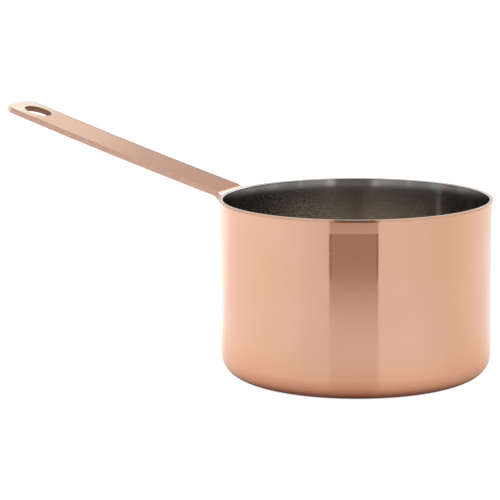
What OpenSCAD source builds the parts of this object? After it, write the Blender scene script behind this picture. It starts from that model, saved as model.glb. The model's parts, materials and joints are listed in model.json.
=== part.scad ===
// Small round saucepan: a copper cup over a steel lining, with a flat strip handle
// riveted to the wall.
// Origin: centre of the underside of the base. +Z is up and the handle points along -X.

/* [Pan] */
// Outer diameter of the copper wall
pan_d = 90; // [75:1:130]
// Height from the underside of the base to the top of the rim
pan_h = 59; // [52:0.5:90]
// Outer radius of the corner between wall and base
corner_r = 7; // [4:0.5:12]
// Thickness of the copper shell
copper_t = 0.4; // [0.3:0.05:1]
// Thickness of the steel lining
steel_t = 0.4; // [0.3:0.05:1]

/* [Rim] */
// How far the steel lip stands out past the copper wall
lip_out = 0.45; // [0.25:0.05:0.6]
// Height of the steel lip
lip_h = 0.45; // [0.3:0.05:0.6]

/* [Handle] */
// Width of the handle strip
strip_w = 16.4; // [14:0.2:20]
// Thickness of the handle strip
strip_t = 2; // [1.5:0.1:2.5]
// Length of the strip from the bend to its end, along its top
strip_len = 86.8; // [70:0.2:140]
// Slope of the strip where it leaves the bend, in degrees
strip_slope = 15.5; // [8:0.5:24]
// Radius of the slight upward curve of the strip, seen from the side
bow_r = 2500; // [1500:100:6000]
// Radius of the rounded corners at the end of the strip
end_corner_r = 3.2; // [1:0.2:6]
// Inside radius of the bend between strip and flange
bend_r = 4.5; // [3:0.5:6]
// Height of the top of the strip above the rim, where it meets the bend
strip_rise = 0.75; // [0:0.25:2]
// Height of the flange below the bend
flange_h = 23; // [20:1:28]
// Radius of the rounded lower corners of the flange
flange_corner_r = 4; // [1:0.5:6]
// How deep the back of the flange is dressed to fit the round wall
seat_depth = 0.1; // [0.05:0.05:0.3]

/* [Hanging hole] */
// Diameter of the hanging hole
hole_d = 9.5; // [6:0.5:10]
// Distance from the end of the strip to the centre of the hole
hole_inset = 8.8; // [8:0.2:14]

/* [Rivets] */
// Diameter of the rivet shanks
rivet_d = 3.6; // [2.4:0.2:4]
// Diameter of the rivet heads
rivet_head_d = 7.2; // [5:0.2:8]
// Height of the rivet heads above the surface under them
rivet_head_h = 1.3; // [0.8:0.1:1.8]
// Distance between the two rivets
rivet_pitch = 10.5; // [9:0.5:11]
// Drop from the centre of the bend to the upper rivet
rivet_drop = 6; // [5:0.5:6.5]

/* [Hidden] */

eps = 0.01;
round_fn = 180;
small_fn = 48;
bow_steps = 16;
bend_steps = 20;

wall_r = pan_d / 2;
inner_r = wall_r - copper_t - steel_t;
shell_h = pan_h - lip_h;

// Bend: its centre line runs across the handle at this distance and height.
bend_out_r = bend_r + strip_t;
flange_x = -(wall_r + strip_t - seat_depth);
bend_x = flange_x - bend_r;
bend_z = pan_h + strip_rise - bend_out_r * cos(strip_slope);
bend_centre = [bend_x, bend_z];
flange_low = bend_z - flange_h;

// How far an inner rivet head reaches into the round lining before it is cut to fit.
head_foot = 0.4;

// Centre of the strip's upward curve, in line with the top of the bend and its centre.
bow_centre = [
    bend_x + (bend_out_r + bow_r) * sin(strip_slope),
    bend_z + (bend_out_r + bow_r) * cos(strip_slope)
];

// Slope of the strip, in degrees, at a distance along its top.
function slope_at(d) = strip_slope + d / bow_r * 180 / PI;
end_slope = slope_at(strip_len);

// Half section of a cup: flat base, rounded corner, straight wall.
module half_cup(r, h, corner)
{
    translate([0, corner]) square([r, h - corner]);
    square([r - corner, h]);
    translate([r - corner, corner]) circle(r = corner, $fn = small_fn);
}

module half_cup_wall(r, h, corner, t)
{
    difference()
    {
        half_cup(r, h, corner);
        translate([0, t]) half_cup(r - t, h, corner - t);
    }
}

// Half section of the steel lip: a flat ring with a rounded outer edge.
module half_lip()
{
    edge_r = lip_h / 2;
    translate([inner_r, pan_h - lip_h]) square([wall_r + lip_out - edge_r - inner_r, lip_h]);
    translate([wall_r + lip_out - edge_r, pan_h - edge_r]) circle(r = edge_r, $fn = small_fn);
}

// Turns a shape so that its +Z points out of the wall at the handle, at height z.
module out_of_wall(z)
{
    translate([0, 0, z]) rotate([0, -90, 0]) children();
}

module at_rivets()
{
    for (i = [0, 1]) out_of_wall(bend_z - rivet_drop - i * rivet_pitch) children();
}

module rivet_bores()
{
    at_rivets() translate([0, 0, inner_r - bend_out_r])
        cylinder(d = rivet_d, h = 3 * bend_out_r, $fn = small_fn);
}

module copper_shell()
{
    color([0.85, 0.55, 0.42]) difference()
    {
        rotate_extrude($fn = round_fn) half_cup_wall(wall_r, shell_h, corner_r, copper_t);
        rivet_bores();
    }
}

module steel_lining()
{
    color([0.72, 0.72, 0.71]) difference()
    {
        rotate_extrude($fn = round_fn)
        {
            translate([0, copper_t])
                half_cup_wall(wall_r - copper_t, shell_h - copper_t, corner_r - copper_t, steel_t);
            half_lip();
        }
        rivet_bores();
    }
}

// Points round an arc, at angles measured from +Z towards +X. A first of 1 leaves out
// the starting point, where the arc carries on from the one before it.
function arc_points(centre, r, from, to, steps, first = 0) = [
    for (i = [first:steps]) let (a = from + (to - from) * i / steps)
        [centre[0] + r * sin(a), centre[1] + r * cos(a)]
];

// Side view of the whole handle: along the top of the strip, over the bend and down the
// back of the flange, then up its face, under the bend and along the underside. The
// flange is left thick at the back for the round wall to be cut out of it.
module handle_side()
{
    back_x = flange_x + 2 * strip_t;
    polygon(concat(
        arc_points(bow_centre, -bow_r, end_slope, strip_slope, bow_steps),
        arc_points(bend_centre, bend_out_r, strip_slope, 90, bend_steps, 1),
        [[back_x, bend_z], [back_x, flange_low], [flange_x, flange_low]],
        arc_points(bend_centre, bend_r, 90, strip_slope, bend_steps),
        arc_points(bow_centre, -bow_r - strip_t, strip_slope, end_slope, bow_steps, 1)
    ));
}

// A point on the top of the strip becomes the origin, with +Z square to the strip and
// +X towards the pan.
module on_strip(d)
{
    a = slope_at(d);
    translate([bow_centre[0] - bow_r * sin(a), 0, bow_centre[1] - bow_r * cos(a)])
        rotate([0, a, 0]) children();
}

// Two notches that round the corners of an end. The end lies at x = 0 and the strip
// goes on towards +X.
module corner_notches(r)
{
    depth = 6 * strip_t;
    for (side = [-1, 1]) translate([0, side * (strip_w / 2 - r), -depth / 2]) difference()
    {
        translate([-r, (side - 1) * r, 0]) cube([2 * r, 2 * r, depth]);
        translate([r, 0, -eps]) cylinder(r = r, h = depth + 2 * eps, $fn = small_fn);
    }
}

module handle()
{
    color([0.84, 0.62, 0.52]) difference()
    {
        rotate([90, 0, 0]) linear_extrude(strip_w, center = true) handle_side();
        cylinder(r = wall_r, h = pan_h, $fn = round_fn);
        on_strip(strip_len) corner_notches(end_corner_r);
        on_strip(strip_len - hole_inset) translate([0, 0, -2 * strip_t])
            cylinder(d = hole_d, h = 4 * strip_t, $fn = small_fn);
        translate([flange_x, 0, flange_low]) rotate([0, -90, 0]) corner_notches(flange_corner_r);
        rivet_bores();
    }
}

// A rivet head: a low dome that stands on z = 0, with a foot that reaches below it.
module rivet_head(foot)
{
    dome_r = (pow(rivet_head_d / 2, 2) + pow(rivet_head_h, 2)) / (2 * rivet_head_h);
    rotate_extrude($fn = small_fn) intersection()
    {
        translate([0, -foot]) square([rivet_head_d / 2, rivet_head_h + foot]);
        translate([0, rivet_head_h - dome_r]) circle(r = dome_r, $fn = round_fn);
    }
}

// Each shank fills its bores. The outer heads stand on the flat face of the flange, and
// the inner heads are cut to fit the round lining, whose seam is turned away from them.
module handle_rivets()
{
    color([0.78, 0.78, 0.77])
    {
        at_rivets() translate([0, 0, inner_r - head_foot])
            cylinder(d = rivet_d, h = -flange_x - inner_r + head_foot, $fn = small_fn);
        at_rivets() translate([0, 0, -flange_x]) rivet_head(0);
        intersection()
        {
            at_rivets() translate([0, 0, inner_r]) rotate([180, 0, 0]) rivet_head(head_foot);
            rotate([0, 0, 30]) cylinder(r = inner_r, h = pan_h, $fn = round_fn);
        }
    }
}

copper_shell();
steel_lining();
handle();
handle_rivets();
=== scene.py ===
"""Visual model of a small copper saucepan: steel lining with a rolled lip, and a bent flat strip handle.

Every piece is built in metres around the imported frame, and stands for one CAD node.
"""

import json
import math

import bmesh
import bpy
from mathutils import Matrix, Vector


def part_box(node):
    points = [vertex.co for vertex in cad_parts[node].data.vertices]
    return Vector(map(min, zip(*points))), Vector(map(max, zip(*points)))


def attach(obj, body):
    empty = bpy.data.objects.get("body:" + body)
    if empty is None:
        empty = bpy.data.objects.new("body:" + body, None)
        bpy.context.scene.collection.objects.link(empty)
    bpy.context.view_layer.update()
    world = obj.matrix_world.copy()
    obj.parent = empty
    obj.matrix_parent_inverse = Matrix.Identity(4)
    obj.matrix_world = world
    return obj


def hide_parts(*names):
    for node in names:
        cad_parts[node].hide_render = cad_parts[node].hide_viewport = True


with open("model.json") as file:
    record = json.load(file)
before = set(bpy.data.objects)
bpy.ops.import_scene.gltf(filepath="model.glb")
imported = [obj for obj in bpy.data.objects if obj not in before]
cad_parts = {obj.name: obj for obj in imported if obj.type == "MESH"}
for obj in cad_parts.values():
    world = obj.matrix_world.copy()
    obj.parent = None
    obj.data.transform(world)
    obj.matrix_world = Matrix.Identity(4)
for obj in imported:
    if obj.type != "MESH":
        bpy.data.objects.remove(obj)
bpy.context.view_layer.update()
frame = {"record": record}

MM = 0.001

# ---- Sizes from the frame ----
MOUNTS = {mount["name"]: mount for mount in frame["record"]["mounts"]}
SHELL_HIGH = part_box("copper_shell")[1]
LINING_LOW, LINING_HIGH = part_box("steel_lining")
HANDLE_LOW, HANDLE_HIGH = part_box("handle")
RIVET_LOW, RIVET_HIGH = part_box("handle_rivets")

WALL_R = SHELL_HIGH.x
SHELL_TOP = SHELL_HIGH.z
LIP_R = LINING_HIGH.x
RIM_TOP = LINING_HIGH.z
COPPER_T = LINING_LOW.z
INNER_R = MOUNTS["mouth"]["dims"]["r_mm"] * MM
WALL_T = WALL_R - INNER_R
HOLE_R = MOUNTS["hanging_hole"]["dims"]["r_mm"] * MM

STRIP_HALF = HANDLE_HIGH.y
FLANGE_LOW = HANDLE_LOW.z
HEAD_R = RIVET_HIGH.y
OUTER_HEAD_X = RIVET_LOW.x
INNER_HEAD_X = RIVET_HIGH.x
RIVET_ZS = (RIVET_LOW.z + HEAD_R, RIVET_HIGH.z - HEAD_R)

# ---- Sizes of details, the same as in the CAD design ----
CORNER_R = 7.0 * MM
STRIP_T = 2.0 * MM
SEAT_DEPTH = 0.1 * MM
BEND_R = 4.5 * MM
STRIP_SLOPE = math.radians(15.5)
STRIP_LEN = 86.8 * MM
STRIP_RISE = 0.75 * MM
BOW_R = 2.5
END_CORNER_R = 3.2 * MM
FLANGE_CORNER_R = 4.0 * MM
HOLE_INSET = 8.8 * MM
HEAD_FOOT = 0.4 * MM     # the straight part under a rivet head's dome
SHANK_R = 1.8 * MM

# ---- Sizes of what only the finished surfaces show ----
FLARE_H = 4.2 * MM       # the last part of the wall, pressed outwards to take the lip
FLARE_OUT = 0.25 * MM
FLARE_LEAN = 0.125       # the slope that its inside is shaded with
LIP_IN = 0.3 * MM        # the lip's round on the inside
LIP_ROUND = 0.12 * MM    # and on the outside
LIP_LEAN = 0.10 * MM     # the lip's outer face leans in by this much at the top
LIP_FOOT = 0.07 * MM
EDGE_ROUND = 0.14 * MM
HOLE_ROUND = 0.15 * MM
SEAT_FADE = 1.6 * MM     # the flange follows the wall's curve, and is flat this far into the bend
GRIND_TURN = (0, STRIP_SLOPE + 0.017, 0)     # turns the grinding lines to the strip's mean slope
HEAD_SOFT = 0.18 * MM    # the round at a rivet head's rim
HEAD_SINK = 0.25 * MM    # how far the inner head's foot stands in the wall

# The flare's outline, as shares of its height and its reach: a soft start, a slope and a rounded edge
FLARE_LINE = ((0, 0), (0.06, 0.03), (0.14, 0.14), (0.3, 0.31), (0.5, 0.54), (0.7, 0.77), (0.88, 0.977),
              (0.9, 1.0), (0.915, 0.99), (0.93, 0.95), (0.98, 0.65), (1, 0.53))

LATHE_STEPS = 256
RIVET_STEPS = 64
DISC_STEPS = 128
FLANGE_CUTS, BEND_CUTS, BOW_CUTS = 6, 28, 30

# ---- Picture and studio ----
VIEW_AZIMUTH = math.radians(25.5)
VIEW_ELEVATION = math.radians(8.93)
VIEW_DISTANCE = 0.81
LENS_MM = 175.5
SENSOR_MM = 36.0
RIM_RIGHT = 0.2117       # how far the rim's centre stands from the picture's middle, as a share of its width
RIM_UP = 0.1044
GAP_LEFT = -10.7         # the wall's angles from the camera's side, in degrees, at the dim band's edges
GAP_RIGHT = 9.1
TO_CAMERA = Vector((math.sin(VIEW_AZIMUTH), -math.cos(VIEW_AZIMUTH), 0))
TO_RIGHT = Vector((math.cos(VIEW_AZIMUTH), math.sin(VIEW_AZIMUTH), 0))


# ---- Mesh helpers ----
def arc(centre_r, centre_z, radius, start, end, steps):
    """Points of an arc in the (r, z) half plane, with angles in degrees."""
    angles = (math.radians(start + (end - start) * i / steps) for i in range(steps + 1))
    return [(centre_r + radius * math.cos(a), centre_z + radius * math.sin(a)) for a in angles]


def line(start, end, steps):
    """Points along a straight line, without its two ends."""
    return [tuple(a + (b - a) * i / steps for a, b in zip(start, end)) for i in range(1, steps)]


def set_smooth_normals(mesh):
    """Shades smooth, with each face counted by its area, so flats next to small rounds stay flat."""
    sums = [Vector() for _ in mesh.vertices]
    for face in mesh.polygons:
        for index in face.vertices:
            sums[index] += face.normal * face.area
    mesh.shade_smooth()
    mesh.normals_split_custom_set_from_vertices([n.normalized() for n in sums])


def make_object(name, bm):
    """Turns a bmesh into a linked object with smooth normals."""
    mesh = bpy.data.meshes.new(name)
    bmesh.ops.recalc_face_normals(bm, faces=bm.faces)
    bm.to_mesh(mesh)
    bm.free()
    set_smooth_normals(mesh)
    piece = bpy.data.objects.new(name, mesh)
    bpy.context.scene.collection.objects.link(piece)
    return piece


def lathe(bm, profile, steps, place=None):
    """Revolves a closed profile of (r, z) points about Z, with one vertex where it meets the axis."""
    place = place or Matrix.Identity(4)
    rings = []
    for r, z in profile:
        if r < 1e-7:
            rings.append([bm.verts.new(place @ Vector((0, 0, z)))])
            continue
        turns = (2 * math.pi * i / steps for i in range(steps))
        rings.append([bm.verts.new(place @ Vector((r * math.cos(a), r * math.sin(a), z))) for a in turns])
    for lower, upper in zip(rings, rings[1:] + rings[:1]):
        if len(lower) == 1 and len(upper) == 1:
            continue
        for i in range(steps):
            j = (i + 1) % steps
            corners = [ring[k % len(ring)] for ring, k in ((lower, i), (lower, j), (upper, j), (upper, i))]
            bm.faces.new(list(dict.fromkeys(corners)))


def finish_piece(piece, nodes, material):
    """Rides on the body, stands for its CAD nodes, and takes its material."""
    piece.data.materials.append(material)
    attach(piece, "root")
    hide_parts(*nodes)
    return piece


# ---- Pan ----
def copper_shell_profile():
    """Outside and inside of the copper cup, from the middle of the base round to the middle again."""
    flare_z = SHELL_TOP - FLARE_H
    inside_r = WALL_R - COPPER_T
    inside_corner = CORNER_R - COPPER_T
    outside = [(0, 0)] + line((0, 0), (WALL_R - CORNER_R, 0), 8)
    outside += arc(WALL_R - CORNER_R, CORNER_R, CORNER_R, -90, 0, 32)
    outside += line((WALL_R, CORNER_R), (WALL_R, flare_z), 12)
    outside += [(WALL_R + FLARE_OUT * out, flare_z + FLARE_H * up) for up, out in FLARE_LINE]
    inside = [(inside_r, SHELL_TOP)] + line((inside_r, SHELL_TOP), (inside_r, CORNER_R), 8)
    inside += arc(WALL_R - CORNER_R, CORNER_R, inside_corner, 0, -90, 16)
    return outside + inside + [(0, COPPER_T)]


def steel_lining_profile():
    """The steel cup inside the copper, with a lip rolled over the edge of the copper."""
    outside_r = WALL_R - COPPER_T
    corner = CORNER_R - WALL_T
    inside = [(0, WALL_T)] + line((0, WALL_T), (WALL_R - CORNER_R, WALL_T), 8)
    inside += arc(WALL_R - CORNER_R, CORNER_R, corner, -90, 0, 24)
    inside += line((INNER_R, CORNER_R), (INNER_R, RIM_TOP - LIP_IN), 12)
    inside += arc(INNER_R + LIP_IN, RIM_TOP - LIP_IN, LIP_IN, 180, 90, 8)
    foot = (LIP_R, SHELL_TOP + LIP_FOOT)
    lip = arc(LIP_R - LIP_ROUND - LIP_LEAN, RIM_TOP - LIP_ROUND, LIP_ROUND, 90, 18, 8)
    lip += line(lip[-1], foot, 5) + arc(LIP_R - LIP_FOOT, SHELL_TOP + LIP_FOOT, LIP_FOOT, 0, -90, 5)
    outside = [(outside_r, SHELL_TOP)] + line((outside_r, SHELL_TOP), (outside_r, CORNER_R), 8)
    outside += arc(WALL_R - CORNER_R, CORNER_R, CORNER_R - COPPER_T, 0, -90, 16)
    return inside + lip + outside + [(0, COPPER_T)]


def build_pan(material_shell, material_lining):
    """The copper shell and its steel lining, both spun about the Z axis."""
    bm = bmesh.new()
    lathe(bm, copper_shell_profile(), LATHE_STEPS)
    finish_piece(make_object("copper_pan", bm), ["copper_shell"], material_shell)
    bm = bmesh.new()
    lathe(bm, steel_lining_profile(), LATHE_STEPS)
    finish_piece(make_object("lining_with_lip", bm), ["steel_lining"], material_lining)


# ---- Handle ----
FLANGE_X = -(WALL_R + STRIP_T - SEAT_DEPTH)
BEND_CENTRE_Z = RIM_TOP + STRIP_RISE - (BEND_R + STRIP_T) * math.cos(STRIP_SLOPE)
BEND_CENTRE = Vector((FLANGE_X - BEND_R, 0, BEND_CENTRE_Z))
MID_R = BEND_R + STRIP_T / 2
FLANGE_LEN = BEND_CENTRE.z - FLANGE_LOW
BEND_TURN = math.pi / 2 - STRIP_SLOPE
BEND_LEN = MID_R * BEND_TURN
BOW_MID_R = BOW_R + STRIP_T / 2
BOW_MID_LEN = STRIP_LEN * BOW_MID_R / BOW_R
PLATE_LEN = FLANGE_LEN + BEND_LEN + BOW_MID_LEN
BOW_AXIS = Vector((math.sin(STRIP_SLOPE), 0, math.cos(STRIP_SLOPE)))
BOW_CENTRE = BEND_CENTRE + (BEND_R + STRIP_T + BOW_R) * BOW_AXIS
HOLE_AT = PLATE_LEN - HOLE_INSET * BOW_MID_R / BOW_R


def on_handle(s):
    """The point and the normal of the strip's middle surface, at a length s from the flange's foot."""
    if s <= FLANGE_LEN:
        return Vector((FLANGE_X + STRIP_T / 2, 0, FLANGE_LOW + s)), Vector((1, 0, 0))
    if s <= FLANGE_LEN + BEND_LEN:
        turn = (s - FLANGE_LEN) / MID_R
        normal = Vector((math.cos(turn), 0, math.sin(turn)))
        return BEND_CENTRE + MID_R * normal, normal
    slope = STRIP_SLOPE + (s - FLANGE_LEN - BEND_LEN) / BOW_MID_R
    normal = Vector((math.sin(slope), 0, math.cos(slope)))
    return BOW_CENTRE - BOW_MID_R * normal, normal


def bend_plate(point):
    """Takes a point of the flat plate (length, width, thickness) to its place on the bent handle."""
    s, y, t = point
    centre, normal = on_handle(s)
    placed = centre + normal * t + Vector((0, y, 0))
    if t > 0:
        share = min(1, max(0, (FLANGE_LEN + SEAT_FADE - s) / SEAT_FADE))
        seat_x = -math.sqrt(WALL_R**2 - y**2) + SEAT_DEPTH / 2
        placed.x += (seat_x - FLANGE_X - STRIP_T) * share * min(1, t / (STRIP_T / 2))
    return placed


def plate_outline(inset, steps=12):
    """The flat plate's outline, set in from its edge: flange corners first, then the corners of the tip."""
    end_s = PLATE_LEN - END_CORNER_R
    corners = [(FLANGE_CORNER_R, 1, 90, FLANGE_CORNER_R), (FLANGE_CORNER_R, -1, 180, FLANGE_CORNER_R),
               (end_s, -1, 270, END_CORNER_R), (end_s, 1, 0, END_CORNER_R)]
    outline = []
    for s, side, start, radius in corners:
        outline += arc(s, side * (STRIP_HALF - radius), radius - inset, start, start + 90, steps)
    return outline


def hole_outline(inset, steps=64):
    """The hanging hole's outline, set back from its edge."""
    return arc(HOLE_AT, 0, HOLE_R + inset, 0, 360 * (steps - 1) / steps, steps - 1)


def edge_rings(bm, outline, round_r, steps=6):
    """Rings of vertices over a rounded plate edge, joined with quads. Gives the top and the bottom ring."""
    half = STRIP_T / 2
    rings = []
    for sign in (1, -1):
        angles = [math.radians(90 * i / steps) for i in range(steps + 1)]
        for a in (reversed(angles) if sign > 0 else angles):
            height = sign * (half - round_r + round_r * math.sin(a))
            ring = outline(round_r * (1 - math.cos(a)))
            rings.append([bm.verts.new((s, y, height)) for s, y in ring])
    for upper, lower in zip(rings, rings[1:]):
        for i, _ in enumerate(upper):
            j = (i + 1) % len(upper)
            bm.faces.new((upper[i], upper[j], lower[j], lower[i]))
    return rings[0], rings[-1]


def ring_edges(bm, ring):
    """The edges that join a ring's vertices."""
    return [bm.edges.get((a, b)) for a, b in zip(ring, ring[1:] + ring[:1])]


def build_handle(material):
    """A flat plate with rounded edges and a hole, cut across its length, then bent to the handle's line."""
    bm = bmesh.new()
    outer = edge_rings(bm, plate_outline, EDGE_ROUND)
    hole = edge_rings(bm, hole_outline, HOLE_ROUND)
    for outer_ring, hole_ring in zip(outer, hole):
        edges = ring_edges(bm, outer_ring) + ring_edges(bm, hole_ring)
        bmesh.ops.triangle_fill(bm, use_beauty=True, edges=edges)
    bend_end = FLANGE_LEN + BEND_LEN
    cuts = [FLANGE_LEN * i / FLANGE_CUTS for i in range(1, FLANGE_CUTS + 1)]
    cuts += [FLANGE_LEN + BEND_LEN * i / BEND_CUTS for i in range(1, BEND_CUTS + 1)]
    cuts += [bend_end + BOW_MID_LEN * i / BOW_CUTS for i in range(1, BOW_CUTS)]
    for cut in cuts:
        geometry = bm.verts[:] + bm.edges[:] + bm.faces[:]
        bmesh.ops.bisect_plane(bm, geom=geometry, plane_co=(cut, 0, 0), plane_no=(1, 0, 0))
    for vertex in bm.verts:
        vertex.co = bend_plate(vertex.co)
    finish_piece(make_object("strip_handle", bm), ["handle"], material)


# ---- Rivets ----
def head_profile(foot_x, top_x):
    """Half of a rivet head as (radius, distance along the rivet): a low dome over a short straight foot."""
    way = 1 if top_x > foot_x else -1
    height = abs(top_x - foot_x) - HEAD_FOOT
    sphere_r = (HEAD_R**2 + height**2) / (2 * height)
    half_angle = math.asin((HEAD_R - HEAD_SOFT) / sphere_r)
    dome = []
    for i in range(13):
        a = half_angle * i / 12
        dome.append((sphere_r * math.sin(a), top_x - way * sphere_r * (1 - math.cos(a))))
    dome_end = dome[-1][1]
    eased = HEAD_SOFT * 0.35
    rounding = [(HEAD_R - eased, dome_end - way * eased), (HEAD_R, dome_end - way * HEAD_SOFT)]
    return dome + rounding + [(HEAD_R, foot_x)]


def build_rivets(material):
    """Two equal rivets through the flange and the wall, each with a head outside and a head inside."""
    inner_foot = -INNER_R - HEAD_SINK
    profile = head_profile(FLANGE_X, OUTER_HEAD_X) + [(SHANK_R, FLANGE_X), (SHANK_R, inner_foot)]
    profile += reversed(head_profile(inner_foot, INNER_HEAD_X))
    for name, height in zip(("rivet_lower", "rivet_upper"), RIVET_ZS):
        bm = bmesh.new()
        place = Matrix.Translation((0, 0, height)) @ Matrix.Rotation(math.pi / 2, 4, "Y")
        lathe(bm, profile, RIVET_STEPS, place)
        finish_piece(make_object(name, bm), ["handle_rivets"], material)


# ---- Node helpers ----
def add(tree, kind, **settings):
    """Adds a node. A setting names a property, or else an input, with underscores for its spaces."""
    node = tree.nodes.new(kind)
    for key, value in settings.items():
        if hasattr(node, key):
            setattr(node, key, value)
        else:
            node.inputs[key.replace("_", " ")].default_value = value
    return node


def coordinates(tree):
    """A point's place in the object's own frame: the whole vector, then its X, Y and Z."""
    where = add(tree, "ShaderNodeTexCoord").outputs["Object"]
    place = add(tree, "ShaderNodeSeparateXYZ")
    tree.links.new(where, place.inputs["Vector"])
    return where, place.outputs["X"], place.outputs["Y"], place.outputs["Z"]


def maths(tree, operation, a, b=0.0):
    """The result of one Math node, whose inputs are numbers or other nodes' outputs."""
    node = add(tree, "ShaderNodeMath", operation=operation)
    for socket, value in zip(node.inputs, (a, b)):
        if isinstance(value, bpy.types.NodeSocket):
            tree.links.new(value, socket)
        else:
            socket.default_value = value
    return node.outputs[0]


def spread(tree, value, low, high, to_low, to_high):
    """Takes low..high to to_low..to_high, smoothly and held at both ends."""
    node = add(tree, "ShaderNodeMapRange", interpolation_type="SMOOTHSTEP",
               From_Min=low, From_Max=high, To_Min=to_low, To_Max=to_high)
    tree.links.new(value, node.inputs["Value"])
    return node.outputs["Result"]


def along_axis(tree, vector, axis):
    """How far a vector reaches along a fixed axis."""
    node = add(tree, "ShaderNodeVectorMath", operation="DOT_PRODUCT")
    tree.links.new(vector, node.inputs[0])
    node.inputs[1].default_value = axis
    return node.outputs["Value"]


def weigh(tree, share, one, other):
    """One value where the share is 0, the other where it is 1."""
    rest = maths(tree, "MULTIPLY", maths(tree, "SUBTRACT", 1.0, share), one)
    return maths(tree, "ADD", rest, maths(tree, "MULTIPLY", share, other))


def ramp(tree, value, stops):
    """A colour that follows a value through (value, colour) stops, joined by straight lines."""
    low, high = stops[0][0], stops[-1][0]
    node = add(tree, "ShaderNodeValToRGB")
    tree.links.new(maths(tree, "DIVIDE", maths(tree, "SUBTRACT", value, low), high - low), node.inputs["Fac"])
    points = node.color_ramp.elements
    while len(points) < len(stops):
        points.new(0.5)
    for point, (place, colour) in zip(points, stops):
        point.position = (place - low) / (high - low)
        point.color = (*colour, 1)
    return node.outputs["Color"]


def grain(tree, scale, detail=2.0, turn=(0, 0, 0)):
    """Noise over the object's own coordinates, with so many features to the metre along each axis."""
    place = add(tree, "ShaderNodeTexCoord").outputs["Object"]
    rotate = add(tree, "ShaderNodeMapping", Rotation=turn)
    stretch = add(tree, "ShaderNodeMapping", Scale=scale)
    noise = add(tree, "ShaderNodeTexNoise", Scale=1.0, Detail=detail)
    tree.links.new(place, rotate.inputs["Vector"])
    tree.links.new(rotate.outputs["Vector"], stretch.inputs["Vector"])
    tree.links.new(stretch.outputs["Vector"], noise.inputs["Vector"])
    return noise.outputs[0]


def blend_colour(tree, share, one, other):
    """A mix of two colours."""
    node = add(tree, "ShaderNodeMix", data_type="RGBA")
    tree.links.new(share, node.inputs["Factor"])
    for socket, colour in zip((node.inputs[6], node.inputs[7]), (one, other)):
        if isinstance(colour, bpy.types.NodeSocket):
            tree.links.new(colour, socket)
        else:
            socket.default_value = (*colour, 1)
    return node.outputs[2]


def scaled(tree, colour, factor):
    """A colour times a number or another colour."""
    node = add(tree, "ShaderNodeVectorMath", operation="MULTIPLY")
    tree.links.new(colour, node.inputs[0])
    tree.links.new(factor, node.inputs[1])
    return node.outputs[0]


def relief(tree, height, depth, below=None):
    """A bump of that depth in metres, on top of another bump."""
    node = add(tree, "ShaderNodeBump", Strength=1.0, Distance=depth)
    tree.links.new(height, node.inputs["Height"])
    if below:
        tree.links.new(below, node.inputs["Normal"])
    return node.outputs["Normal"]


def tilted_up(tree, share, slope):
    """The surface's normal, leaning upwards by the slope where the share is 1."""
    up = add(tree, "ShaderNodeCombineXYZ")
    tree.links.new(maths(tree, "MULTIPLY", share, slope), up.inputs["Z"])
    lean = add(tree, "ShaderNodeVectorMath", operation="ADD")
    tree.links.new(add(tree, "ShaderNodeNewGeometry").outputs["Normal"], lean.inputs[0])
    tree.links.new(up.outputs["Vector"], lean.inputs[1])
    unit = add(tree, "ShaderNodeVectorMath", operation="NORMALIZE")
    tree.links.new(lean.outputs[0], unit.inputs[0])
    return unit.outputs[0]


def new_material(name):
    """A new material, its tree and its shader."""
    material = bpy.data.materials.new(name)
    material.use_nodes = True
    tree = material.node_tree
    return material, tree, tree.nodes["Principled BSDF"]


def metal(name, anisotropy=0.0, turn=0.0):
    """A new metallic material, its tree and its shader."""
    material, tree, shader = new_material(name)
    shader.inputs["Metallic"].default_value = 1.0
    shader.inputs["Anisotropic"].default_value = anisotropy
    shader.inputs["Anisotropic Rotation"].default_value = turn
    return material, tree, shader


def feed(tree, shader, colour, rough, normal):
    """Links a shader's colour, roughness and normal."""
    for name, output in (("Base Color", colour), ("Roughness", rough), ("Normal", normal)):
        tree.links.new(output, shader.inputs[name])


def scratches(tree, angle, length=0.012, width=0.00025, share=0.70):
    """Thin sparse hairlines at an angle to the level, 1 on a line and 0 elsewhere."""
    noise = grain(tree, (1 / length, 1 / length, 1 / width), 1.0, (angle, angle * 0.6, 0))
    return spread(tree, noise, share, share + 0.06, 0, 1)


# ---- Colours, as red, green and blue in linear light ----
POLISHED_TONES = ((0.735, 0.430, 0.300), (0.755, 0.447, 0.330))
LINING_TONES = ((0.40, 0.385, 0.365), (0.46, 0.44, 0.42))
# painted reflection: the lining's lower wall is lighter and warmer
LINING_LOWER_PAINTED_REFLECTION = (0.73, 0.66, 0.58)
# painted light: the lining's floor is brighter steel
LINING_FLOOR_PAINTED_LIGHT = (0.66, 0.645, 0.62)
# painted highlight: the lip's top ring is brighter steel
LIP_TOP_PAINTED_HIGHLIGHT = (0.74, 0.72, 0.70)
LIP_SIDE = (0.74, 0.44, 0.32)
# painted light on the handle towards its tip, and painted shade by the pan
TIP_TONES_PAINTED_LIGHT = ((0.68, 0.43, 0.29), (0.75, 0.475, 0.325))
ROOT_TONES_PAINTED_SHADE = ((0.58, 0.275, 0.175), (0.64, 0.315, 0.205))
# painted highlight at the handle's tip
TIP_PAINTED_HIGHLIGHT = (0.84, 0.70, 0.57)
# painted highlight on the handle's bend
BEND_PAINTED_HIGHLIGHT = (0.80, 0.58, 0.46)
SHEARED_TONES = ((0.58, 0.36, 0.28), (0.64, 0.40, 0.32))
# painted shade on the hanging hole's wall
HOLE_PAINTED_SHADE = (0.27, 0.16, 0.105)
RIVET_TONES = ((0.62, 0.61, 0.60), (0.74, 0.73, 0.72))
FLOOR_TONES = ((0.24, 0.24, 0.24), (0.26, 0.26, 0.26))
WHITE = (1, 1, 1)
WARM_CARD = (1, 0.97, 0.88)
GAP_TONES = ((0.83, 0.79, 0.77), (0.47, 0.375, 0.32))
GAP_BORDER = (0.33, 0.24, 0.19)


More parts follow.
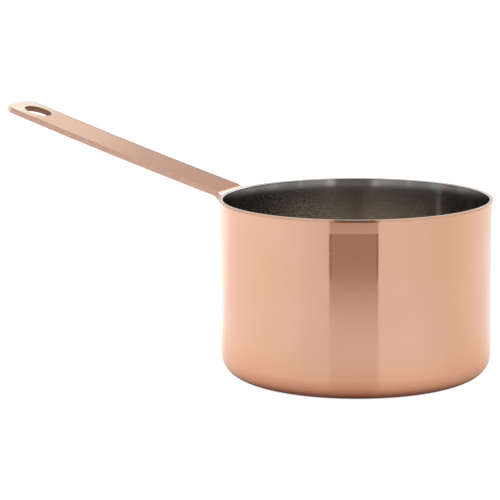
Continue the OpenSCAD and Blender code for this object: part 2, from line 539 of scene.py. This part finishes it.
# ---- Materials ----
def polished_copper():
    """Mirror-polished copper: soft tone changes, level polishing lines and a few hairlines."""
    material, tree, shader = metal("polished_copper")
    patch = spread(tree, grain(tree, (22, 22, 30), 3.0), 0.35, 0.65, 0, 1)
    lines = grain(tree, (25, 25, 3500), 3.0)
    hairs = maths(tree, "MAXIMUM", scratches(tree, 0.6), scratches(tree, -0.9, 0.007, 0.0002, 0.72))
    rough = spread(tree, lines, 0.3, 0.7, 0.035, 0.06)
    rough = maths(tree, "ADD", rough, maths(tree, "MULTIPLY", hairs, 0.12))
    waves = relief(tree, grain(tree, (26, 26, 34), 1.0), 0.06 * MM)
    polish = relief(tree, lines, 0.0004 * MM, waves)
    feed(tree, shader, blend_colour(tree, patch, *POLISHED_TONES), rough, polish)
    return material


def below_rim(tree, z, start, end, to_start=0, to_end=1):
    """Goes from one value to another between two depths below the rim, given in millimetres."""
    return spread(tree, z, RIM_TOP - start * MM, RIM_TOP - end * MM, to_start, to_end)


def lining_colour(tree, z, outer):
    """Steel, with a warm painted reflection on the lower wall, painted light brightening it towards the
    floor, a bright painted highlight on the lip's top, and coppery on the lip's outer side.
    """
    steel = blend_colour(tree, grain(tree, (30, 30, 60), 2.0), *LINING_TONES)
    # painted reflection: lighter, warmer steel on the lower wall
    steel = blend_colour(tree, below_rim(tree, z, 15, 5, 1, 0), steel, LINING_LOWER_PAINTED_REFLECTION)
    # painted light: brighter steel towards the floor
    steel = blend_colour(tree, spread(tree, z, 3 * MM, 20 * MM, 1, 0), steel, LINING_FLOOR_PAINTED_LIGHT)
    # painted highlight along the lip's top
    steel = blend_colour(tree, below_rim(tree, z, 0.3, 0.05), steel, LIP_TOP_PAINTED_HIGHLIGHT)
    return blend_colour(tree, outer, steel, LIP_SIDE)


def inside_flare(tree, radius, z):
    """1 on the inside of the wall's flare, fading downwards, and 0 on the lip."""
    wall = spread(tree, radius, INNER_R + 0.05 * MM, INNER_R + 0.15 * MM, 1, 0)
    rise = maths(tree, "MULTIPLY", below_rim(tree, z, 4.6, 1.0), below_rim(tree, z, 0.5, 0.3, 1, 0))
    return maths(tree, "MULTIPLY", rise, wall)


def lining_steel():
    """Stainless steel with fine turned marks round the pan."""
    material, tree, shader = metal("lining_steel", 0.75, 0.25)
    tangent = add(tree, "ShaderNodeTangent", direction_type="RADIAL", axis="Z")
    tree.links.new(tangent.outputs["Tangent"], shader.inputs["Tangent"])
    lines = grain(tree, (20, 20, 2600), 3.0)
    _, x, y, z = coordinates(tree)
    squares = (maths(tree, "MULTIPLY", part, part) for part in (x, y))
    radius = maths(tree, "SQRT", maths(tree, "ADD", *squares))
    outer = spread(tree, radius, WALL_R - 0.45 * MM, WALL_R - 0.05 * MM, 0, 1)
    rough = weigh(tree, outer, spread(tree, lines, 0.3, 0.7, 0.15, 0.19), 0.05)
    leaning = tilted_up(tree, inside_flare(tree, radius, z), FLARE_LEAN)
    feed(tree, shader, lining_colour(tree, z, outer), rough, relief(tree, lines, 0.0005 * MM, leaning))
    return material


def in_hole(tree, where):
    """1 on the wall of the hanging hole, and 0 on the strip's faces."""
    centre, normal = on_handle(HOLE_AT)
    offset = add(tree, "ShaderNodeVectorMath", operation="SUBTRACT")
    tree.links.new(where, offset.inputs[0])
    offset.inputs[1].default_value = centre
    across = add(tree, "ShaderNodeVectorMath", operation="CROSS_PRODUCT")
    tree.links.new(offset.outputs[0], across.inputs[0])
    across.inputs[1].default_value = normal
    length = add(tree, "ShaderNodeVectorMath", operation="LENGTH")
    tree.links.new(across.outputs[0], length.inputs[0])
    return spread(tree, length.outputs["Value"], HOLE_R + 0.03 * MM, HOLE_R + 0.12 * MM, 1, 0)


def on_bend(tree, x, z):
    """1 on the bend beside the rim, where a highlight is painted into the colour and the roughness is lower.
    """
    beside = spread(tree, x, -WALL_R - 3.3 * MM, -WALL_R - 2.3 * MM, 0, 1)
    return maths(tree, "MULTIPLY", beside, below_rim(tree, z, 5, 3))


def strip_faces(tree, streak, x):
    """Copper with painted shade darkening it by the pan and painted light paling it towards the tip, and a
    painted highlight paler still at the end.
    """
    # painted shade towards the pan, painted light towards the tip
    painted_shade_towards_pan = spread(tree, x, HANDLE_LOW.x, -WALL_R, 0, 1)
    tip = blend_colour(tree, streak, *TIP_TONES_PAINTED_LIGHT)
    root = blend_colour(tree, streak, *ROOT_TONES_PAINTED_SHADE)
    # painted highlight over the last part of the tip
    painted_tip_highlight = spread(tree, x, HANDLE_LOW.x + 5 * MM, HANDLE_LOW.x + 15 * MM, 1, 0)
    return blend_colour(tree, painted_tip_highlight, blend_colour(tree, painted_shade_towards_pan, tip, root), TIP_PAINTED_HIGHLIGHT)


def strip_edges(tree, colour, y):
    """Paints shade on the face along the far edge and a highlight along the near edge, and adds the sheared
    sides.
    """
    # painted shade: the face darkens along the far edge
    far = spread(tree, y, STRIP_HALF - 1.3 * MM, STRIP_HALF - 0.5 * MM, 1, 0.5)
    # painted highlight: the face is lifted along the near edge
    near = spread(tree, y, -STRIP_HALF + 0.4 * MM, -STRIP_HALF + 0.8 * MM, 0.10, 0)
    colour = scaled(tree, colour, maths(tree, "ADD", far, near))
    speckle = spread(tree, grain(tree, (700, 700, 700)), 0.3, 0.7, 0, 1)
    side = spread(tree, maths(tree, "ABSOLUTE", y), STRIP_HALF - 0.12 * MM, STRIP_HALF - 0.02 * MM, 0, 1)
    return blend_colour(tree, side, colour, blend_colour(tree, speckle, *SHEARED_TONES))


def satin_copper():
    """Satin copper, ground along the strip, with plain sheared edges, painted shade in the hole, and painted
    light and shade along the strip, its edges and its bend.
    """
    material, tree, shader = metal("satin_copper")
    lines = grain(tree, (60, 3800, 3800), 3.0, GRIND_TURN)
    broad = grain(tree, (25, 260, 260), 2.0, GRIND_TURN)
    tone = maths(tree, "ADD", maths(tree, "MULTIPLY", lines, 0.6), maths(tree, "MULTIPLY", broad, 0.4))
    where, x, y, z = coordinates(tree)
    bend_highlight_and_gloss = on_bend(tree, x, z)
    bore = in_hole(tree, where)
    colour = strip_faces(tree, spread(tree, tone, 0.35, 0.65, 0, 1), x)
    # painted highlight on the bend beside the rim
    colour = strip_edges(tree, blend_colour(tree, bend_highlight_and_gloss, colour, BEND_PAINTED_HIGHLIGHT), y)
    rough = spread(tree, tone, 0.3, 0.7, 0.26, 0.36)
    rough = maths(tree, "SUBTRACT", rough, maths(tree, "MULTIPLY", bend_highlight_and_gloss, 0.12))
    rough = maths(tree, "ADD", rough, maths(tree, "MULTIPLY", bore, 0.15))
    # painted shade on the hole's wall
    feed(tree, shader, blend_colour(tree, bore, colour, HOLE_PAINTED_SHADE), rough, relief(tree, lines, 0.004 * MM))
    return material


def rivet_steel():
    """Bright steel with a speckled tone and small dents from setting."""
    material, tree, shader = metal("rivet_steel")
    tone = grain(tree, (900, 900, 900), 2.0)
    rough = spread(tree, tone, 0.3, 0.7, 0.14, 0.26)
    dents = relief(tree, grain(tree, (420, 420, 420), 1.0), 0.02 * MM)
    feed(tree, shader, blend_colour(tree, tone, *RIVET_TONES), rough, dents)
    return material


# ---- Studio: light by bearing from the camera's side, in degrees, right positive ----
def narrow_lamp(angle, light, beside):
    """The stops of a narrow upright lamp, and of what stands beside it."""
    return [(angle - 2, beside), (angle, light), (angle + 2, beside)]


LOW_STOPS = [(-180, 1.0), (-112, 0.9), (-96, 0.15), *narrow_lamp(-72, 0.7, 0.2), *narrow_lamp(-48, 0.9, 0.22),
             (-22, 0.3), (-19, 1.1), (-15, 1.1), (-13, 0.38), (18, 0.38), (20, 1.05), (24, 1.05), (27, 0.3),
             *narrow_lamp(50, 0.9, 0.22), *narrow_lamp(76, 0.7, 0.2), (96, 0.15), (112, 0.9), (180, 1.0)]
HIGH_STOPS = [(-180, 0.80), (-110, 0.80), (-90, 0.9), (-24, 0.9), (-17, 0.04), (16, 0.04), (23, 0.9),
              (90, 0.9), (110, 0.75), (180, 0.80)]
JOIN_STOPS = [(-180, 0.02), (-80, 0.02), (-60, 0.09), (60, 0.09), (80, 0.02), (180, 0.02)]
JOIN_WIDTH = 0.06        # the sine of the height over which the low light gives way to the high light
CEILING_FROM = 0.70      # the sines of the heights between which the ceiling takes over
CEILING_FULL = 0.90
CEILING_LIGHT = 0.92
BEND_LAMP_BEARING = 140  # a round lamp that the handle's bend mirrors
BEND_LAMP_HEIGHT = 25
BEND_LAMP_EDGE = 17      # degrees from its middle to its edge, and to where it is brightest
BEND_LAMP_CORE = 9
BEND_LAMP_LIGHT = 1.3
CARD_STOPS = [(-180, 1.10), (-162, 1.10), (-152, 1.28), (-136, 1.34), (-126, 1.17), (-90, 1.12), (-60, 1.05),
              (-45, 1.0), (-30, 0.93), (-20, 0.90), (20, 0.97), (38, 0.98), (67, 0.93), (80, 0.95),
              (92, 1.00), (105, 1.04), (124, 1.09), (134, 1.12), (152, 1.08), (165, 1.08), (180, 1.10)]
BRIGHTEST = 4.0          # a ramp holds its light as shares of this
# The light on the reflectors by the distance from the pan's axis, in millimetres
CONTACT_STOPS = [(38, (0.03, 0.015, 0.012)), (40, (0.12, 0.06, 0.05)), (41.6, (0.27, 0.145, 0.118)),
                 (44.7, (0.65, 0.51, 0.40)), (48.3, (0.83, 0.67, 0.595)), (55.4, (0.92, 0.80, 0.73)),
                 (76.7, (0.98, 0.905, 0.83)), (87, (1, 0.95, 0.88)), (105, (1, 0.985, 0.96)), (130, WHITE)]
GAP_SOFT = 3 * MM        # half the width of the gap's soft edges
STAGE_R = 8.0
REFLECTOR_R = 3.0
REFLECTOR_HOLE_R = 39.2 * MM
BACKDROP_R = 7.9
TIP_PANEL_PLACE = (-0.27, 0.22, 0.20)
TIP_PANEL_SIZE = (0.16, 0.20)
TIP_PANEL_POWER = 0.0024
TIP_PANEL_SPREAD = math.radians(34)


def bearing(tree, direction):
    """The bearing of a direction from the camera's side, as -180 to 180 degrees, right positive."""
    parts = [along_axis(tree, direction, axis) for axis in (TO_RIGHT, TO_CAMERA)]
    return maths(tree, "MULTIPLY", maths(tree, "ARCTAN2", *parts), 180 / math.pi)


def by_bearing(tree, degrees, stops):
    """A brightness that follows the bearing through (degrees, brightness) stops."""
    shares = [(angle, (light / BRIGHTEST,) * 3) for angle, light in stops]
    return maths(tree, "MULTIPLY", ramp(tree, degrees, shares), BRIGHTEST)


def heading(degrees, height):
    """The direction at a bearing from the camera's side and a height above the level, both in degrees."""
    turn, rise = math.radians(degrees), math.radians(height)
    level = TO_CAMERA * math.cos(turn) + TO_RIGHT * math.sin(turn)
    return level * math.cos(rise) + Vector((0, 0, math.sin(rise)))


def studio_light(tree, direction, height):
    """Narrow lamps low down, wide soft boxes above them with a dark gap in front, and a white ceiling."""
    degrees = bearing(tree, direction)
    above = maths(tree, "SUBTRACT", height, by_bearing(tree, degrees, JOIN_STOPS))
    low, high = (by_bearing(tree, degrees, stops) for stops in (LOW_STOPS, HIGH_STOPS))
    walls = weigh(tree, spread(tree, above, 0, JOIN_WIDTH, 0, 1), low, high)
    return weigh(tree, spread(tree, height, CEILING_FROM, CEILING_FULL, 0, 1), walls, CEILING_LIGHT)


def bend_lamp(tree, direction):
    """A round lamp with a soft edge."""
    middle = heading(BEND_LAMP_BEARING, BEND_LAMP_HEIGHT)
    edge, core = (math.cos(math.radians(angle)) for angle in (BEND_LAMP_EDGE, BEND_LAMP_CORE))
    return spread(tree, along_axis(tree, direction, middle), edge, core, 0, BEND_LAMP_LIGHT)


def build_world():
    """The studio round the pan."""
    world = bpy.data.worlds.new("studio")
    bpy.context.scene.world = world
    world.use_nodes = True
    tree = world.node_tree
    direction = add(tree, "ShaderNodeTexCoord").outputs["Generated"]
    parts = add(tree, "ShaderNodeSeparateXYZ")
    tree.links.new(direction, parts.inputs["Vector"])
    light = studio_light(tree, direction, parts.outputs["Z"])
    light = maths(tree, "ADD", light, bend_lamp(tree, direction))
    background = tree.nodes["Background"]
    background.inputs["Color"].default_value = (*WHITE, 1)
    tree.links.new(light, background.inputs["Strength"])


def circle(bm, radius, height):
    """A level ring of vertices."""
    turns = (2 * math.pi * i / DISC_STEPS for i in range(DISC_STEPS))
    return [bm.verts.new((radius * math.cos(a), radius * math.sin(a), height)) for a in turns]


def stage_disc(name, hole_r, radius, height, material):
    """A flat disc on the floor, with a round hole in it where hole_r isn't 0."""
    bm = bmesh.new()
    if hole_r:
        inner, outer = circle(bm, hole_r, height), circle(bm, radius, height)
        for i in range(DISC_STEPS):
            j = (i + 1) % DISC_STEPS
            bm.faces.new((inner[i], inner[j], outer[j], outer[i]))
    else:
        bm.faces.new(circle(bm, radius, height))
    piece = make_object(name, bm)
    piece.data.materials.append(material)
    return piece


def floor_radius(tree):
    """A floor point's distance from the pan's axis, in metres, and its position."""
    place = add(tree, "ShaderNodeTexCoord").outputs["Object"]
    length = add(tree, "ShaderNodeVectorMath", operation="LENGTH")
    tree.links.new(place, length.inputs[0])
    return length.outputs["Value"], place


def pale_floor():
    """A light table: matt white, lit from below except under the pan, where the missing glow is a painted
    shadow.
    """
    material, tree, shader = new_material("pale_floor")
    tone = grain(tree, (8, 8, 8), 2.0)
    tree.links.new(blend_colour(tree, tone, *FLOOR_TONES), shader.inputs["Base Color"])
    shader.inputs["Roughness"].default_value = 0.9
    shader.inputs["Specular IOR Level"].default_value = 0.0
    shader.inputs["Emission Color"].default_value = (*WHITE, 1)
    radius, _ = floor_radius(tree)
    # painted shadow: no glow under the pan, which the copper's base mirrors
    glow = spread(tree, radius, WALL_R - CORNER_R, WALL_R - 5.0 * MM, 0.0, 0.96)
    tree.links.new(glow, shader.inputs["Emission Strength"])
    return material


def inside_edge(tree, place, wall_angle):
    """How far a floor point is inside the edge that the wall mirrors as an upright line at that angle."""
    angle = math.radians(wall_angle)
    outward = TO_RIGHT * math.sin(angle) + TO_CAMERA * math.cos(angle)
    camera = TO_CAMERA * VIEW_DISTANCE * math.cos(VIEW_ELEVATION)
    arriving = (outward * WALL_R - camera).normalized()
    leaving = arriving - 2 * arriving.dot(outward) * outward
    across = leaving.cross(Vector((0, 0, 1)))
    across *= math.copysign(1, across.dot(camera - outward * WALL_R))
    return maths(tree, "SUBTRACT", along_axis(tree, place, across), across.dot(outward) * WALL_R)


def border_line(tree, depth):
    """1 on a narrow line just inside an edge."""
    off_line = maths(tree, "ABSOLUTE", maths(tree, "SUBTRACT", depth, 4 * MM))
    return spread(tree, off_line, 1 * MM, 6 * MM, 1, 0)


def card_light(tree, degrees):
    """Bright cards all round, a little yellow on the right."""
    warm = maths(tree, "MULTIPLY", spread(tree, degrees, 45, 80, 0, 1), spread(tree, degrees, 92, 118, 1, 0))
    return scaled(tree, blend_colour(tree, warm, WHITE, WARM_CARD), by_bearing(tree, degrees, CARD_STOPS))


def reflector_light(tree):
    """Cards all round, a dim gap with darker borders where the camera stands, and the pan's own shade."""
    radius, place = floor_radius(tree)
    edges = [inside_edge(tree, place, angle) for angle in (GAP_RIGHT, GAP_LEFT)]
    gap = maths(tree, "MULTIPLY", *(spread(tree, depth, -GAP_SOFT, GAP_SOFT, 0, 1) for depth in edges))
    dim = blend_colour(tree, spread(tree, radius, 130 * MM, 310 * MM, 0, 1), *GAP_TONES)
    light = blend_colour(tree, gap, card_light(tree, bearing(tree, place)), dim)
    border = maths(tree, "MAXIMUM", *(border_line(tree, depth) for depth in edges))
    border = maths(tree, "MULTIPLY", border, gap)
    border = maths(tree, "MULTIPLY", border, spread(tree, radius, 240 * MM, 280 * MM, 0, 1))
    shade = ramp(tree, radius, [(distance * MM, colour) for distance, colour in CONTACT_STOPS])
    return scaled(tree, shade, blend_colour(tree, border, light, GAP_BORDER))


def reflector_glow():
    """Plain light, without a surface of its own."""
    material, tree, shader = new_material("reflector_glow")
    tree.nodes.remove(shader)
    glow = add(tree, "ShaderNodeEmission")
    tree.links.new(reflector_light(tree), glow.inputs["Color"])
    tree.links.new(glow.outputs[0], tree.nodes["Material Output"].inputs["Surface"])
    return material


def build_backdrop():
    """A plain white wall round the stage, which only the camera sees."""
    low, high = -1 * MM, STAGE_R
    bm = bmesh.new()
    back_r = BACKDROP_R + 50 * MM
    lathe(bm, [(BACKDROP_R, low), (BACKDROP_R, high), (back_r, high), (back_r, low)], DISC_STEPS)
    wall = make_object("backdrop", bm)
    material, _, shader = new_material("backdrop_white")
    shader.inputs["Base Color"].default_value = (0, 0, 0, 1)
    shader.inputs["Specular IOR Level"].default_value = 0.0
    shader.inputs["Emission Color"].default_value = (*WHITE, 1)
    shader.inputs["Emission Strength"].default_value = 1.0
    wall.data.materials.append(material)
    wall.visible_diffuse = False
    wall.visible_glossy = False
    wall.visible_transmission = False
    wall.visible_shadow = False


def build_stage():
    """The floor, and over it the reflectors, which only mirrored rays see."""
    stage_disc("floor", 0, STAGE_R, -0.1 * MM, pale_floor())
    cards = stage_disc("reflectors", REFLECTOR_HOLE_R, REFLECTOR_R, 0.02 * MM, reflector_glow())
    cards.visible_camera = False
    cards.visible_diffuse = False
    cards.visible_shadow = False
    cards.visible_transmission = False
    build_backdrop()


def build_panel():
    """A soft panel behind the handle's tip, which fades towards the pan."""
    data = bpy.data.lights.new("tip_panel", "AREA")
    data.shape = "RECTANGLE"
    data.size, data.size_y = TIP_PANEL_SIZE
    data.energy = TIP_PANEL_POWER
    data.spread = TIP_PANEL_SPREAD
    panel = bpy.data.objects.new("tip_panel", data)
    bpy.context.scene.collection.objects.link(panel)
    panel.location = TIP_PANEL_PLACE
    tip = Vector((HANDLE_LOW.x, 0, HANDLE_HIGH.z))
    panel.rotation_euler = (tip - panel.location).to_track_quat("-Z", "Y").to_euler()
    panel.visible_camera = False


def build_camera():
    """Stands at the view's angle and turns, without shift, until the rim's centre is in its place."""
    data = bpy.data.cameras.new("camera")
    data.lens = LENS_MM
    data.sensor_width = SENSOR_MM
    camera = bpy.data.objects.new("camera", data)
    bpy.context.scene.collection.objects.link(camera)
    bpy.context.scene.camera = camera
    back = TO_CAMERA * math.cos(VIEW_ELEVATION) + Vector((0, 0, math.sin(VIEW_ELEVATION)))
    place = Vector((0, 0, RIM_TOP)) + VIEW_DISTANCE * back
    up = back.cross(TO_RIGHT)
    focal = LENS_MM / SENSOR_MM
    yaw = math.atan2(RIM_RIGHT, focal)
    pitch = math.atan2(RIM_UP * math.cos(yaw), focal)
    ahead = -back * math.cos(yaw) - TO_RIGHT * math.sin(yaw)
    right = TO_RIGHT * math.cos(yaw) - back * math.sin(yaw)
    back = up * math.sin(pitch) - ahead * math.cos(pitch)
    up = up * math.cos(pitch) + ahead * math.sin(pitch)
    camera.matrix_world = Matrix.Translation(place) @ Matrix((right, up, back)).transposed().to_4x4()


build_pan(polished_copper(), lining_steel())
build_handle(satin_copper())
build_rivets(rivet_steel())
build_world()
build_stage()
build_panel()
build_camera()
bpy.context.scene.view_settings.view_transform = "Standard"
